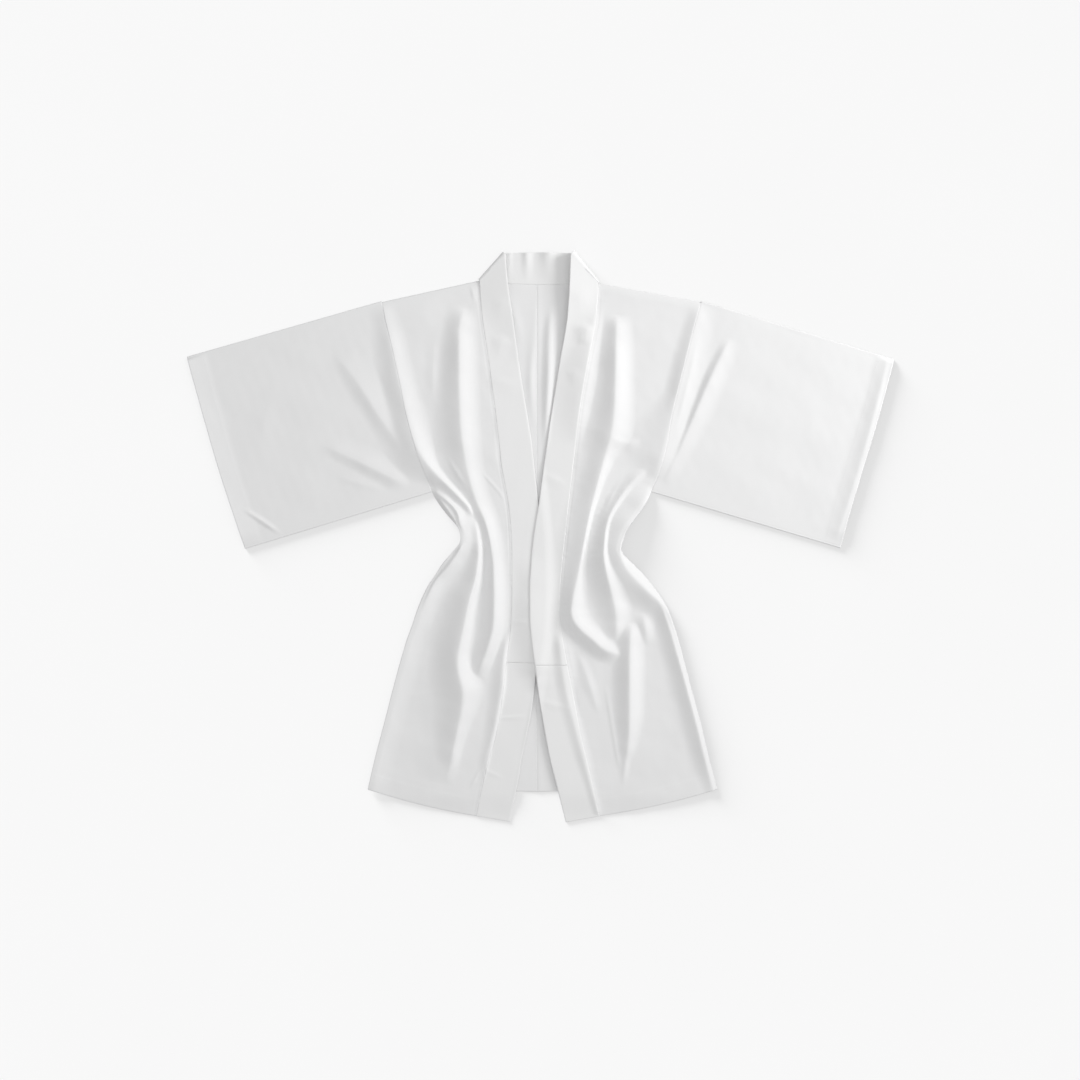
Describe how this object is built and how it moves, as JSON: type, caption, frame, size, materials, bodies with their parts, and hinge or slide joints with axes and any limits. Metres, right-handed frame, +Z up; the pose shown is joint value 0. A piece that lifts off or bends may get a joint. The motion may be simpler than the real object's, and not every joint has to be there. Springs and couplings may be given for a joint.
{
  "type": "kimono",
  "caption": "Short open-front kimono robe with wide straight sleeves and a straight collar band to the hem, laid flat on its back.",
  "frame": {"origin": "on the surface that the garment lies on, under the middle of its box, at the waist by the centre-back seam", "axes": "+Z up from the surface, +Y towards the collar, +X towards the wearer's left sleeve"},
  "size_m": [1.131, 0.9137, 0.0227],
  "materials": {
    "cloth": "plain woven white cloth, matt with a soft sheen",
    "band": "the same white cloth, doubled and pressed"
  },
  "bodies": {
    "root": {"back_right": "cloth", "back_left": "cloth", "front_right": "cloth", "front_left": "cloth", "sleeve_right": "cloth", "sleeve_left": "cloth", "collar": "band", "band_lower_right": "band", "band_lower_left": "band"}
  },
  "joints": []
}
